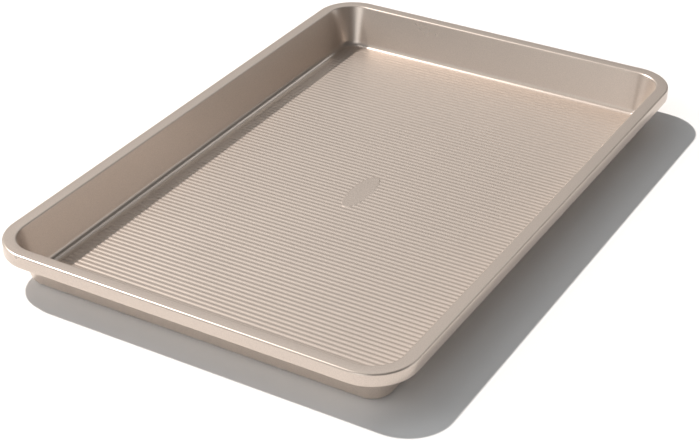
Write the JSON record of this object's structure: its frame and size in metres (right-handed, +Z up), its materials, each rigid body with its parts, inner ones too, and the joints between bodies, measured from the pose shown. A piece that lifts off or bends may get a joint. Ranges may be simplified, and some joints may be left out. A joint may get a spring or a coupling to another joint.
{
  "type": "jelly roll pan",
  "caption": "Low rectangular baking pan drawn from coated sheet steel, with flared walls, rounded corners, a finely ribbed floor and a square rolled rim over a steel rod.",
  "frame": {"origin": "on the surface that the pan stands on, under the middle of the pan", "axes": "+X along the long sides, +Y across the pan along the floor's ribs, +Z up"},
  "size_m": [0.419, 0.2794, 0.0301],
  "materials": {
    "nonstick_coating": "satin champagne non-stick coating with fine metallic flake",
    "rod_steel": "bright drawn steel rod"
  },
  "bodies": {
    "root": {"pan_shell": "nonstick_coating", "rim_rod": "rod_steel"}
  },
  "joints": []
}
